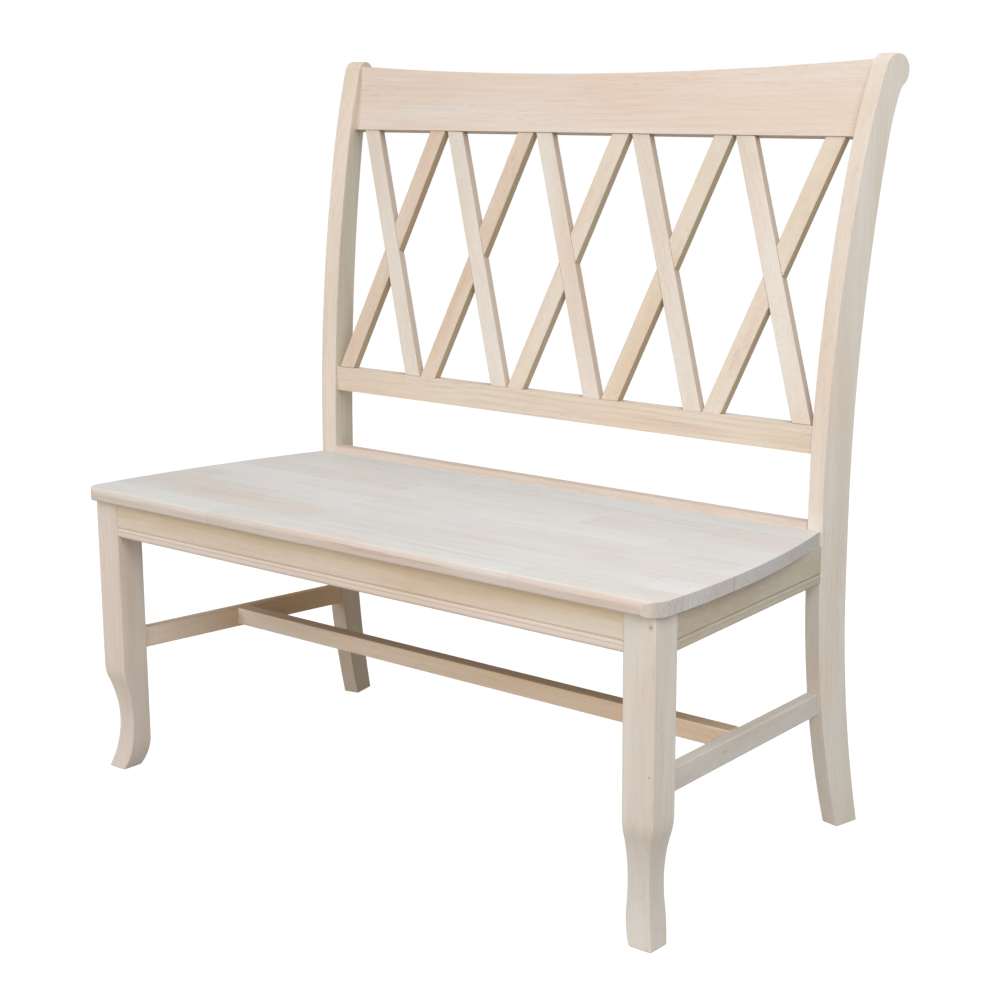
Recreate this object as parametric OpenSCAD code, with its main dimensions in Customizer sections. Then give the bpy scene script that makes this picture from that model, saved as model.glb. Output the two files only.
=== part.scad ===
// Wooden bench with a slatted X back, built from stub-tenoned rails.
// Millimetres, +Z up, floor at Z = 0, bench front faces -Y.
// Origin: on the floor, midway across the width and midway through the depth.

/* [Seat] */
// Height of the seat's top at its front edge
seat_h = 457; // [420:1:500]
// Thickness of the seat
seat_t = 19.5; // [18:0.5:26]
// How far the seat drops from the legs' front face to the posts
seat_fall = 7; // [0:1:20]
// How far the seat's front edge stands out past the front legs
seat_nose = 15; // [4:0.5:20]
// How far the seat's ends stand out past the front legs
seat_side = 11; // [2:0.5:20]
// Rounding of the seat's top front edge
nose_r = 9; // [4:1:12]
// Rounding of the seat's lower front edge
nose_low_r = 4; // [2:1:5]
// Rounding of the seat's front corners, seen from above
seat_corner_r = 28; // [6:1:40]
// Distance from the legs' front face to where the seat's ends begin to curve in
seat_curve_y = 20; // [0:1:80]
// How far the seat's ends stop short of the posts' outer corners
seat_end_in = 5; // [0.5:0.5:12]

/* [Front legs] */
// Width over the outer faces of the front legs
leg_span = 1057; // [1000:1:1300]
// Side of the square leg
leg_w = 48; // [40:0.1:60]
// Depth of the scoop above the foot
ankle_d = 14; // [6:0.5:18]
// Height of the deepest point of the scoop
ankle_z = 80; // [60:1:110]
// Radius of the scoop above its deepest point
ankle_up_r = 220; // [180:5:300]
// Radius of the shoulder where the scoop begins
ankle_top_r = 80; // [40:5:140]
// Height at which the inner faces of the foot turn in
toe_z = 48; // [30:1:70]
// How far the inner faces of the foot turn in at the floor
toe_in = 12.5; // [4:0.5:16]
// Distance the toe stays behind the leg's faces at the floor
toe_back = 0; // [0:0.1:5]

/* [Rear posts] */
// Distance from the legs' front face to the posts' inner front corner
post_y = 463.3; // [430:0.1:520]
// Clear width between the posts at their inner front corners
post_gap = 925; // [860:0.1:960]
// Thickness of a post
post_t = 28; // [24:0.1:36]
// Turn of each post, seen from above, that splays head and foot
post_turn = 12.2; // [6:0.1:14]
// Front-to-back width of the post beside the seat
post_d = 54.5; // [48:0.5:70]
// Front-to-back width of the post at the floor
post_foot_d = 43.2; // [36:0.1:52]
// How far the foot sweeps back behind the straight stretch
foot_kick = 53.5; // [30:0.5:70]
// Depth below the seat's top at which the foot begins to sweep
kick_below = 87; // [84:1:110]
// Height above the seat's top at which the front of the back leans off
bend_above = 20; // [8:1:40]
// Radius of that bend on the front edge
bend_r = 2000; // [1700:10:2300]
// Lean of the straight part of the back
back_lean = 11.5; // [10:0.1:12.5]
// Depth below that bend at which the rear edge leans off
rear_bend_below = 20; // [5:1:60]
// Front-to-back width of the post at the neck below the scroll
neck_d = 43; // [36:0.5:48]
// Depth of the neck's front below the crest rail's lower edge
neck_below = 75; // [30:0.5:90]
// Depth of the neck's rear below the crest rail's lower edge
neck_rear_below = 3; // [1:0.5:30]
// Radius of the front of the neck below the scroll
neck_r = 1100; // [900:10:1300]
// Radius of the rear of the neck below the scroll
neck_rear_r = 350; // [250:10:450]
// Radius of the scroll
scroll_r = 23; // [20:0.5:25]
// Distance from the post's front edge back to the scroll's centre
scroll_reach = 27; // [26:0.5:32]
// Rounding of the front corner at the post's top
head_r = 25; // [18:1:26]
// Radius of the hollow between the scroll and the post's rear edge
scroll_hollow_r = 18; // [10:1:30]

/* [Back rails] */
// Height of the lower back rail
low_rail_h = 39.5; // [34:0.5:60]
// Thickness of the lower back rail
low_rail_t = 20; // [18:0.5:24]
// Clear height between the seat's top at the front and the lower rail
low_rail_above = 99.5; // [70:0.5:120]
// Set-back of the lower rail behind the posts' front edges
low_rail_in = 4; // [1:0.5:8]
// Height of the lattice between the two rails
lattice_h = 394.5; // [330:0.5:440]
// Height of the crest rail at its ends, along its lean
crest_end_h = 106.5; // [100:0.5:112]
// How much lower the crest rail is in the middle
crest_dip = 15.8; // [4:0.1:30]
// Thickness of the crest rail
crest_t = 21; // [19:0.5:23]
// Lean of the crest rail
crest_lean = 13.5; // [11:0.1:15]
// Set-back of the crest rail behind the posts' front edges
crest_in = 13.5; // [8:0.5:16]
// Height of the scroll's centre above the crest rail's lower edge
scroll_above = 88.5; // [84:0.5:94]

/* [Lattice] */
// Width of a slat
slat_w = 29.5; // [20:0.5:34]
// Thickness of a slat
slat_t = 14.5; // [10:0.5:15]
// Set-back of the slats behind the rails' front faces
slat_in = 2; // [1:0.5:5]
// Gap between two crosses, at the lower rail
cross_gap = 1.5; // [1:0.5:12]
// Gap between two crosses, at the crest rail
cross_top_gap = 5; // [1:0.5:12]
// Gap between the last cross and the post, at the lower rail
cross_end_gap = 5.5; // [4:0.5:20]
// Shoulder on each edge of a slat's stub tenon
slat_shoulder = 5; // [3:0.5:6]
// Shoulder on each face of a slat's stub tenon
slat_cheek = 3; // [1.5:0.5:3.5]
// Length of the stub tenon on a slat
slat_tenon_l = 8; // [4:0.5:10]

/* [Aprons] */
// Height of the front and side aprons
apron_h = 55.5; // [44:0.5:60]
// Thickness of the front apron
front_apron_t = 22; // [18:0.5:24]
// Thickness of the side aprons
side_apron_t = 20; // [17:0.5:22]
// Set-back of the aprons behind the legs' faces
apron_in = 1; // [0.5:0.5:4]
// Height of the bead along an apron's lower edge
bead_h = 15; // [8:0.5:18]
// Width of the groove above the bead
groove_w = 2.5; // [1:0.5:5]
// Depth of the groove, and rounding of the bead's upper edge
groove_d = 2.5; // [1:0.5:4]
// Rounding of the bead's lower edge
bead_r = 5; // [3:0.5:7]
// Thickness of the rear apron
rear_apron_t = 26.6; // [22:0.1:32]
// How far the rear apron rises above the seat's back edge
rear_apron_up = 10; // [6:0.5:24]
// Depth of the ledge in the rear apron that carries the seat
ledge_d = 8; // [5:0.5:12]
// Distance from the posts' inner front corner forward to the apron's face
rear_apron_fore = 1.3; // [0.5:0.1:3]

/* [Stretchers] */
// Height of the side stretchers
stretcher_h = 32.8; // [26:0.1:38]
// Height of the centre stretcher
mid_stretcher_h = 28; // [22:0.1:32]
// Thickness of the side stretchers
side_stretcher_t = 18; // [15:0.5:22]
// Thickness of the centre stretcher
mid_stretcher_t = 24.5; // [16:0.1:26]
// Height of the side stretchers' top at the front legs
stretcher_front_z = 222.5; // [190:1:240]
// How far the side stretchers drop from the legs to the posts
stretcher_fall = 12; // [5:0.5:25]
// Distance from the legs' front face to the centre stretcher
mid_stretcher_y = 243.5; // [160:0.5:300]
// Distance the side stretchers' outer faces stand in from the posts'
stretcher_in = 7; // [5:0.5:8]
// Rounding of the stretchers' long edges
stretcher_edge_r = 3; // [1:0.5:5]

/* [Joints] */
// Play between a tenon and its mortise, on each face
fit = 0.15; // [0.1:0.05:0.4]
// Thickness of the aprons' and rails' tenons
tenon_t = 9; // [7:0.5:10]
// Shoulder above and below a tenon on the aprons and stretchers
shoulder = 6; // [4:0.5:8]
// Shoulder above and below the crest rail's tenons
crest_shoulder = 20; // [14:0.5:30]
// Length of the tenons in the front legs
leg_tenon_l = 18; // [12:0.5:20]
// Length of the rails' tenons in the posts' inner faces
rail_tenon_l = 14; // [10:0.5:18]
// Length of the rear apron's tenons, short of the side aprons' own
rear_tenon_l = 9; // [6:0.5:9]
// Length of the side aprons' and stretchers' tenons in the posts
side_tenon_l = 12; // [8:0.5:12]
// Thickness of the side aprons' rear tenons
side_tenon_t = 7; // [5:0.5:7]
// Shoulder outside the side aprons' rear tenons
side_tenon_in = 3; // [2:0.5:4]
// Length of the centre stretcher's tenons
mid_tenon_l = 10; // [6:0.5:12]

/* [Corner blocks] */
// Gap between a corner block and the front leg's inner corner
block_gap = 0.8; // [0.3:0.1:4]
// Width of the block, measured along the aprons
block_w = 34; // [30:1:36]
// Height of the block
block_h = 38; // [30:1:42]
// Diameter of the screws
screw_d = 4; // [3:0.1:5]
// Diameter of the screw heads
screw_head_d = 8; // [7:0.1:9]
// Height of the screw heads
screw_head_h = 3; // [2:0.1:4]
// How far a screw reaches into the piece behind its block
screw_bite = 12; // [8:0.5:13]
// Wood left under a screw head that holds an apron
screw_seat = 8; // [6:0.5:10]
// Play around a screw
screw_fit = 0.1; // [0.05:0.05:0.3]

/* [Hidden] */
$fn = 64;
// Number of boards glued edge to edge in the seat
seat_boards = 8;
// Number of crosses in the back
cross_count = 5;
// Size of a cutter that reaches past the whole bench
far = 3000;
// How far a cutter or a blank reaches past the face that it makes
over = 1;
// Steps along each curved stretch of an outline
steps = 10;
// Steps along the seat's curved ends
end_steps = 16;
// Facets of the circle along the top of the crest rail
crest_facets = 720;
// Length of a tenon that lies inside a rail cut on a slant at its end
root = 20;
// Length of a tenon that lies inside a side apron or a stretcher, at its rear
side_root = 10;
// The same at the front, where the end is square
front_root = 5;
// Length of a slat's tenon that lies inside the slat
slat_root = 6;
// Extra height of a corner block's blank, cut away under the seat
block_rise = 5;
// Extra depth of the rear board's blank, cut away at the rear apron
board_extra = 20;
// Overlap of two solids that are joined end to end
lap = 0.01;

wood_pale = [0.86, 0.80, 0.74];
wood_seat = [0.85, 0.84, 0.82];
wood_crest = [0.89, 0.82, 0.76];
wood_slat = [0.88, 0.82, 0.77];
wood_apron = [0.82, 0.73, 0.61];
wood_rail = [0.80, 0.71, 0.60];
wood_block = [0.83, 0.76, 0.66];
steel = [0.72, 0.70, 0.64];

// Heights and depths that follow from the sizes above
seat_slope = atan(seat_fall / post_y);
seat_under = seat_h - seat_t;
leg_x = leg_span / 2;
leg_in_x = leg_x - leg_w;
post_x = post_gap / 2;

kick_z = seat_h - kick_below;
bend_z = seat_h + bend_above;
low_rail_z = seat_h + low_rail_above;
lattice_z = low_rail_z + low_rail_h;
crest_z = lattice_z + lattice_h;
scroll_z = crest_z + scroll_above;
neck_z = crest_z - neck_below;
neck_rear_z = crest_z - neck_rear_below;

// Point of a circle arc that leaves the upright after rise dz
function bow(r, dz) = r - sqrt(r * r - dz * dz);
// Radius of an arc that leaves the upright and stands off by run after rise dz
function bow_r(dz, run) = (dz * dz + run * run) / (2 * run);

// Front edge of a post: distance back from the straight stretch
lean_z = bend_z + bend_r * sin(back_lean);
lean_u = bow(bend_r, lean_z - bend_z);
neck_u = lean_u + (neck_z - lean_z) * tan(back_lean);
neck_cu = neck_u + neck_r * cos(back_lean);
neck_cz = neck_z - neck_r * sin(back_lean);
function front_u(z) =
  z < kick_z ? bow(bow_r(kick_z, foot_kick), kick_z - z) :
  z < bend_z ? 0 :
  z < lean_z ? bow(bend_r, z - bend_z) :
  z < neck_z ? neck_u - (neck_z - z) * tan(back_lean) :
  neck_cu - sqrt(pow(neck_r, 2) - pow(z - neck_cz, 2));

// Rear edge of a post, measured from the same line
rear_bend_z = bend_z - rear_bend_below;
rear_kick = foot_kick + post_foot_d - post_d;
rear_neck_u = front_u(neck_rear_z) + neck_d;
rear_bend_r = bow_r(neck_rear_z - rear_bend_z, rear_neck_u - post_d);
rear_angle = asin((neck_rear_z - rear_bend_z) / rear_bend_r);
rear_neck_cu = rear_neck_u + neck_rear_r * cos(rear_angle);
rear_neck_cz = neck_rear_z - neck_rear_r * sin(rear_angle);
function rear_u(z) =
  z < kick_z ? post_d + bow(bow_r(kick_z, rear_kick), kick_z - z) :
  z < rear_bend_z ? post_d :
  z < neck_rear_z ? post_d + bow(rear_bend_r, z - rear_bend_z) :
  rear_neck_cu - sqrt(pow(neck_rear_r, 2) - pow(z - rear_neck_cz, 2));

// A distance u back along a post's inner face, as a depth and a half width
function inner_y(u) = post_y + u * cos(post_turn);
function inner_x(y) = post_x + (y - post_y) * tan(post_turn);

low_rail_y = inner_y(front_u(low_rail_z + low_rail_h / 2) + low_rail_in);
crest_y = inner_y(front_u(crest_z) + crest_in);
crest_bulge_r = bow_r(inner_x(crest_y), crest_dip);
scroll_u = front_u(scroll_z) + scroll_reach;
rear_most = inner_y(scroll_u + scroll_r);
mid_y = (rear_most - seat_nose) / 2;

// Head of a post, as [distance back, height]: the front corner's rounding
scroll_mid = [scroll_u, scroll_z];
head_top = scroll_z + scroll_r;
neck_mid = [neck_cu, neck_cz];
corner_z = head_top - head_r;
corner_mid = [neck_cu - sqrt(pow(neck_r - head_r, 2) - pow(corner_z - neck_cz, 2)), corner_z];
corner_start = neck_mid + (corner_mid - neck_mid) * neck_r / (neck_r - head_r);
// The hollow touches the scroll and the neck's rear arc
rear_mid = [rear_neck_cu, rear_neck_cz];
rear_span = norm(scroll_mid - rear_mid);
hollow_from_rear = neck_rear_r - scroll_hollow_r;
hollow_from_scroll = scroll_r + scroll_hollow_r;
hollow_along = (pow(hollow_from_rear, 2) - pow(hollow_from_scroll, 2) + pow(rear_span, 2)) / (2 * rear_span);
hollow_down = sqrt(pow(hollow_from_rear, 2) - pow(hollow_along, 2));
rear_way = (scroll_mid - rear_mid) / rear_span;
hollow_mid = rear_mid + hollow_along * rear_way + hollow_down * [-rear_way[1], rear_way[0]];
hollow_start = rear_mid + (hollow_mid - rear_mid) * neck_rear_r / hollow_from_rear;

// Side aprons run from the leg's outer face to the post's outer corner
apron_front_x = leg_x - apron_in;
post_corner_x = post_x + post_t * cos(post_turn);
post_corner_y = post_y - post_t * sin(post_turn);
apron_turn = atan((apron_front_x - post_corner_x) / (post_corner_y - leg_w));
function apron_inner_x(y) =
  apron_front_x - side_apron_t / cos(apron_turn) - (y - leg_w) * tan(apron_turn);
rear_face_y = post_y - rear_apron_fore;
ledge_y = rear_face_y - ledge_d;
front_inner_y = apron_in + front_apron_t;

// Side stretchers, from the leg's middle to the post
stretcher_x0 = leg_x - leg_w / 2;
stretcher_u = front_u(stretcher_front_z - stretcher_fall - stretcher_h / 2);
stretcher_y1 = inner_y(stretcher_u) - post_t * sin(post_turn) / 2;
stretcher_out_x = inner_x(inner_y(stretcher_u)) + post_t * cos(post_turn) - stretcher_in;
stretcher_x1 = stretcher_out_x - side_stretcher_t / 2;
stretcher_turn = atan((stretcher_x0 - stretcher_x1) / (stretcher_y1 - leg_w));
stretcher_len = sqrt(pow(stretcher_x0 - stretcher_x1, 2) + pow(stretcher_y1 - leg_w, 2));
stretcher_slope = atan(stretcher_fall / stretcher_len);
// The centre stretcher's top is level with theirs where it meets them
mid_len_y = mid_stretcher_y + mid_stretcher_t / 2 - leg_w;
mid_top_z = stretcher_front_z - mid_len_y * tan(stretcher_slope) / cos(stretcher_turn);
mid_z = mid_top_z - mid_stretcher_h / 2;
function stretcher_inner_x(y) =
  stretcher_x0 - (y - leg_w) * tan(stretcher_turn) - side_stretcher_t / 2 / cos(stretcher_turn);

// Lattice plane, from the lower rail's front edge to the crest rail's
lattice_run = crest_y - low_rail_y;
lattice_lean = atan(lattice_run / lattice_h);
lattice_len = sqrt(lattice_run * lattice_run + lattice_h * lattice_h);
lattice_half = inner_x(low_rail_y) - cross_end_gap;
cross_w = (2 * lattice_half - (cross_count - 1) * cross_gap) / cross_count;
cross_pitch = cross_w + cross_gap;
cross_top_w = cross_pitch - cross_top_gap;
cross_mean_w = (cross_w + cross_top_w) / 2;
// Spread of a slat's centre line from rail to rail, so that the cross,
// with the slats' own width on the slant, comes out as wide as that
cross_spread =
  (cross_mean_w * pow(lattice_len, 2)
  - lattice_len * slat_w * sqrt(pow(lattice_len, 2) + pow(cross_mean_w, 2) - pow(slat_w, 2)))
  / (pow(lattice_len, 2) - pow(slat_w, 2));
slat_angle = atan(cross_spread / lattice_len);
// Middle of a slat of cross i; d = 1 rises to the right, d = -1 falls to it
function slat_x(i, d) = (i - (cross_count + 1) / 2) * cross_pitch + d * (cross_top_w - cross_w) / 4;

// Frames in which the pieces are laid out
// Puts the bench's middle over the origin
module place() {
  translate([0, -mid_y, 0]) children();
}

module both_sides() {
  children();
  mirror([1, 0, 0]) children();
}

module side_of(s) {
  if (s < 0) mirror([1, 0, 0]) children();
  if (s > 0) children();
}

// X across the post, Y back along it
module post_frame() {
  translate([post_x, post_y, 0]) rotate([0, 0, -post_turn]) children();
}

// Z = 0 is the seat's underside
module seat_frame() {
  translate([0, 0, seat_under]) rotate([-seat_slope, 0, 0]) children();
}

module crest_frame() {
  translate([0, crest_y, crest_z]) rotate([-crest_lean, 0, 0]) children();
}

module lattice_frame() {
  translate([0, low_rail_y, lattice_z]) rotate([-lattice_lean, 0, 0]) children();
}

// Y runs back along the apron, Z = 0 at its top, X = 0 at its outer face
module apron_frame() {
  translate([apron_front_x, leg_w, seat_under - leg_w * tan(seat_slope)])
    rotate([0, 0, apron_turn])
      rotate([-seat_slope, 0, 0])
        children();
}

// Y runs back along the stretcher from the leg, X and Z at its centre
module stretcher_frame() {
  translate([stretcher_x0, leg_w, stretcher_front_z - stretcher_h / 2])
    rotate([0, 0, stretcher_turn])
      rotate([-stretcher_slope, 0, 0])
        children();
}

// Cutters that give a rail its shoulders
module above_seat_underside() {
  seat_frame() translate([-far / 2, -far / 2, 0]) cube(far);
}

module beyond_post_inner() {
  post_frame() translate([0, -far / 2, -far / 2]) cube(far);
}

function front_edge() = concat(
  [for (i = [0:steps]) let (z = kick_z * i / steps) [front_u(z), z]],
  [for (i = [0:steps]) let (z = bend_z + (lean_z - bend_z) * i / steps) [front_u(z), z]],
  [for (i = [0:steps]) let (z = neck_z + (corner_start[1] - neck_z) * i / steps) [front_u(z), z]]
);

module behind_post_front() {
  post_frame()
    translate([-far / 2, 0, 0])
      rotate([90, 0, 90])
        linear_extrude(far)
          polygon(concat(front_edge(), [[far, corner_start[1]], [far, 0]]));
}

// Posts
function rear_edge() = concat(
  [for (i = [steps:-1:0]) let (z = neck_rear_z + (hollow_start[1] - neck_rear_z) * i / steps) [rear_u(z), z]],
  [for (i = [steps - 1:-1:0]) let (z = rear_bend_z + (neck_rear_z - rear_bend_z) * i / steps) [rear_u(z), z]],
  [for (i = [steps:-1:0]) let (z = kick_z * i / steps) [rear_u(z), z]]
);

// Square top, before its front corner is rounded
module post_top() {
  translate([scroll_u, scroll_z, 0]) cylinder(h = post_t, r = scroll_r);
  linear_extrude(post_t)
    polygon([corner_start, [corner_start[0], head_top], [scroll_u, head_top], scroll_mid,
      hollow_start - [root, 0]]);
}

// What a corner of radius head_r leaves off the square top
module corner_waste() {
  difference() {
    translate([0, 0, -over])
      linear_extrude(post_t + 2 * over)
        polygon([corner_mid, corner_start + (corner_start - corner_mid),
          [corner_start[0] - head_r, head_top + head_r], [corner_mid[0], head_top + head_r]]);
    translate([corner_mid[0], corner_mid[1], -2 * over])
      cylinder(h = post_t + 4 * over, r = head_r);
  }
}

module scroll_hollow() {
  difference() {
    linear_extrude(post_t)
      polygon([scroll_mid, hollow_mid, hollow_start, hollow_start - [root, 0]]);
    translate([hollow_mid[0], hollow_mid[1], -over])
      cylinder(h = post_t + 2 * over, r = scroll_hollow_r);
  }
}

module post_blank() {
  post_frame()
    rotate([90, 0, 90])
      difference() {
        union() {
          linear_extrude(post_t) polygon(concat(front_edge(), [scroll_mid], rear_edge()));
          post_top();
          scroll_hollow();
        }
        corner_waste();
      }
}

module rear_post(s) {
  color(wood_pale)
    place()
      side_of(s)
        difference() {
          post_blank();
          crest_tenon(fit);
          low_rail_tenon(fit);
          rear_apron_tenon(fit);
          side_apron_rear_tenon(fit);
          stretcher_rear_tenon(fit);
        }
}

// Front legs
shoulder_c = ankle_up_r + ankle_top_r;
shoulder_z = ankle_z + sqrt(2 * ankle_d * shoulder_c - ankle_d * ankle_d);
shoulder_turn = acos((shoulder_c - ankle_d) / shoulder_c);
toe_r = bow_r(toe_z, toe_in);
ankle_low_r = bow_r(ankle_z, ankle_d - toe_back);

// Outline of one face: u = 0 is the outer side, worked from the floor up
function leg_outline() = concat(
  [for (i = [0:steps - 1]) let (z = ankle_z * i / steps) [ankle_d - bow(ankle_low_r, ankle_z - z), z]],
  [for (i = [0:steps - 1]) let (a = shoulder_turn * i / steps)
    [ankle_d - ankle_up_r * (1 - cos(a)), ankle_z + ankle_up_r * sin(a)]],
  [for (i = [0:steps]) let (a = shoulder_turn * (1 - i / steps))
    [ankle_top_r * (1 - cos(a)), shoulder_z - ankle_top_r * sin(a)]],
  [[0, seat_h], [leg_w, seat_h]],
  [for (i = [0:steps]) let (z = toe_z * (1 - i / steps)) [leg_w - bow(toe_r, toe_z - z), z]]
);

module front_leg(s) {
  color(wood_pale)
    place()
      side_of(s)
        difference() {
          intersection() {
            translate([leg_in_x, 0, 0])
              rotate([90, 0, 90])
                linear_extrude(leg_w)
                  polygon(leg_outline());
            translate([leg_x, leg_w, 0])
              rotate([90, 0, 0])
                linear_extrude(leg_w)
                  mirror([1, 0])
                    polygon(leg_outline());
          }
          above_seat_underside();
          front_apron_tenon(fit);
          side_apron_front_tenon(fit);
          stretcher_front_tenon(fit);
        }
}

// Aprons
// Cross section of a beaded apron: outer face at X = 0, lower edge at Y = 0
module apron_section(t, h) {
  difference() {
    square([t, h]);
    translate([-over, bead_h]) square([groove_d + over, groove_w]);
    difference() {
      translate([-over, bead_h - groove_d]) square([groove_d + over, groove_d]);
      translate([groove_d, bead_h - groove_d]) circle(groove_d);
    }
    difference() {
      translate([-over, -over]) square([bead_r + over, bead_r + over]);
      translate([bead_r, bead_r]) circle(bead_r);
    }
  }
}

front_tenon_y = apron_in + front_apron_t / 2;
apron_low_z = seat_under - apron_h;

// A tenon grows by g on its cheeks and at its end to make its mortise
module front_apron_tenon(g) {
  translate([leg_in_x - root, front_tenon_y - tenon_t / 2 - g, apron_low_z + shoulder - g])
    cube([root + leg_tenon_l + g, tenon_t + 2 * g, apron_h - 2 * shoulder + 2 * g]);
}

module front_apron() {
  color(wood_apron)
    place()
      difference() {
        union() {
          difference() {
            translate([-leg_in_x, apron_in, apron_low_z])
              rotate([90, 0, 90])
                linear_extrude(2 * leg_in_x)
                  apron_section(front_apron_t, apron_h);
            above_seat_underside();
          }
          both_sides() front_apron_tenon(0);
        }
        both_sides() front_block_screw(0, screw_fit);
      }
}

side_tenon_z = -apron_h + shoulder;
side_tenon_h = apron_h - 2 * shoulder;

module side_apron_front_tenon(g) {
  translate([apron_front_x - side_apron_t / 2 - tenon_t / 2 - g, leg_w - leg_tenon_l - g,
    seat_under - apron_h + shoulder - g])
    cube([tenon_t + 2 * g, leg_tenon_l + g + front_root, side_tenon_h + 2 * g - leg_w * tan(seat_slope)]);
}

apron_len = (post_corner_y - leg_w) / cos(apron_turn);

module side_apron_rear_tenon(g) {
  apron_frame()
    translate([-side_tenon_t - side_tenon_in - g, apron_len - side_root, side_tenon_z - g])
      cube([side_tenon_t + 2 * g, side_root + side_tenon_l + g, side_tenon_h + 2 * g]);
}

module side_apron(s) {
  color(wood_apron)
    place()
      side_of(s)
        difference() {
          union() {
            difference() {
              apron_frame()
                translate([0, apron_len + side_tenon_l, -apron_h])
                  rotate([90, 0, 0])
                    linear_extrude(apron_len + 2 * side_tenon_l)
                      mirror([1, 0])
                        apron_section(side_apron_t, apron_h);
              translate([0, leg_w - far, 0]) cube(far);
              behind_post_front();
            }
            side_apron_front_tenon(0);
            side_apron_rear_tenon(0);
          }
          front_block_screw(1, screw_fit);
          rear_block_screw(1, screw_fit);
        }
}

rear_apron_z = seat_under - apron_h - post_y * tan(seat_slope);
rear_apron_top = seat_h - rear_face_y * tan(seat_slope) + rear_apron_up;

module rear_apron_tenon(g) {
  tenon_y = (rear_face_y + ledge_y + rear_apron_t) / 2;
  translate([post_x - root, tenon_y - tenon_t / 2 - g, rear_apron_z + shoulder - g])
    cube([root + rear_tenon_l + g, tenon_t + 2 * g, rear_apron_top - rear_apron_z - 2 * shoulder + 2 * g]);
}

module rear_apron() {
  color(wood_rail)
    place()
      difference() {
        union() {
          difference() {
            translate([-post_gap, ledge_y, rear_apron_z])
              cube([2 * post_gap, rear_apron_t, rear_apron_top - rear_apron_z]);
            intersection() {
              above_seat_underside();
              translate([-far / 2, ledge_y - over, 0]) cube([far, ledge_d + over, far]);
            }
            both_sides() beyond_post_inner();
          }
          both_sides() rear_apron_tenon(0);
        }
        both_sides() rear_block_screw(0, screw_fit);
      }
}

// Rails of the back
low_tenon_y = low_rail_y + low_rail_t / 2;

module low_rail_tenon(g) {
  translate([post_x - root, low_tenon_y - tenon_t / 2 - g, low_rail_z + shoulder - g])
    cube([root + inner_x(low_tenon_y) - post_x + rail_tenon_l + g, tenon_t + 2 * g,
      low_rail_h - 2 * shoulder + 2 * g]);
}

module lower_back_rail() {
  color(wood_rail)
    place()
      difference() {
        union() {
          difference() {
            translate([-post_gap, low_rail_y, low_rail_z])
              cube([2 * post_gap, low_rail_t, low_rail_h]);
            both_sides() beyond_post_inner();
          }
          both_sides() low_rail_tenon(0);
        }
        for (i = [1:cross_count], d = [-1, 1]) slat_tenon(i, d, 0, fit);
      }
}

crest_tenon_h = crest_end_h - 2 * crest_shoulder;

module crest_tenon(g) {
  x_end = inner_x(crest_y + crest_end_h * sin(crest_lean)) + rail_tenon_l;
  crest_frame()
    translate([post_x - root, crest_t / 2 - tenon_t / 2 - g, crest_shoulder - g])
      cube([x_end - post_x + root + g, tenon_t + 2 * g, crest_tenon_h + 2 * g]);
}

module crest_rail() {
  color(wood_crest)
    place()
      difference() {
        union() {
          difference() {
            crest_frame()
              translate([-post_gap, 0, 0])
                cube([2 * post_gap, crest_t, crest_end_h + crest_dip]);
            crest_frame()
              translate([0, crest_t + over, crest_end_h - crest_dip + crest_bulge_r])
                rotate([90, 0, 0])
                  cylinder(h = crest_t + 2 * over, r = crest_bulge_r, $fn = crest_facets);
            both_sides() beyond_post_inner();
          }
          both_sides() crest_tenon(0);
        }
        for (i = [1:cross_count], d = [-1, 1]) slat_tenon(i, d, 1, fit);
      }
}

// Lattice
slat_mid = slat_in + slat_t / 2;
slat_tenon_w = slat_w - 2 * slat_shoulder;
slat_tenon_t = slat_t - 2 * slat_cheek;

module slat_bar(i, d, w, y0, t) {
  translate([slat_x(i, d), y0 + t / 2, lattice_len / 2])
    rotate([0, d * slat_angle, 0])
      cube([w, t, 2 * lattice_len], center = true);
}

// Stub tenon of a slat in the lower rail (e = 0) or the crest rail (e = 1)
module slat_tenon(i, d, e, g) {
  x = slat_x(i, d) + d * (e - 0.5) * cross_spread;
  lattice_frame()
    translate([x - slat_tenon_w / 2 - g, slat_mid - slat_tenon_t / 2 - g,
      e * (lattice_len - slat_root) - (1 - e) * (slat_tenon_l + g)])
      cube([slat_tenon_w + 2 * g, slat_tenon_t + 2 * g, slat_tenon_l + slat_root + g]);
}

// The falling slat keeps its front half at the crossing, the rising one its back
module slat(i, d) {
  color(wood_slat)
    place()
      union() {
        difference() {
          lattice_frame()
            difference() {
              slat_bar(i, d, slat_w, slat_in, slat_t);
              slat_bar(i, -d, slat_w + 2 * fit, d > 0 ? slat_in - over : slat_mid, slat_t / 2 + over);
            }
          translate([-far / 2, 0, lattice_z - far]) cube(far);
          crest_frame() translate([-far / 2, -far / 2, 0]) cube(far);
        }
        for (e = [0, 1]) slat_tenon(i, d, e, 0);
      }
}

// Stretchers
module eased_bar_section(t, h, r) {
  union() {
    square([t - 2 * r, h], center = true);
    square([t, h - 2 * r], center = true);
    for (x = [-1, 1], y = [-1, 1])
      translate([x * (t / 2 - r), y * (h / 2 - r)]) circle(r);
  }
}

stretcher_tenon_h = stretcher_h - 2 * shoulder;

module stretcher_front_tenon(g) {
  translate([stretcher_x0 - tenon_t / 2 - g, leg_w - leg_tenon_l - g,
    stretcher_front_z - stretcher_h + shoulder - g])
    cube([tenon_t + 2 * g, leg_tenon_l + front_root + g, stretcher_tenon_h + 2 * g]);
}

module stretcher_rear_tenon(g) {
  stretcher_frame()
    translate([-tenon_t / 2 - g, stretcher_len - side_root, -stretcher_tenon_h / 2 - g])
      cube([tenon_t + 2 * g, side_root + side_tenon_l + g, stretcher_tenon_h + 2 * g]);
}

mid_tenon_t = mid_stretcher_t - 2 * shoulder;
mid_tenon_h = mid_stretcher_h - 2 * shoulder;

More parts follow.
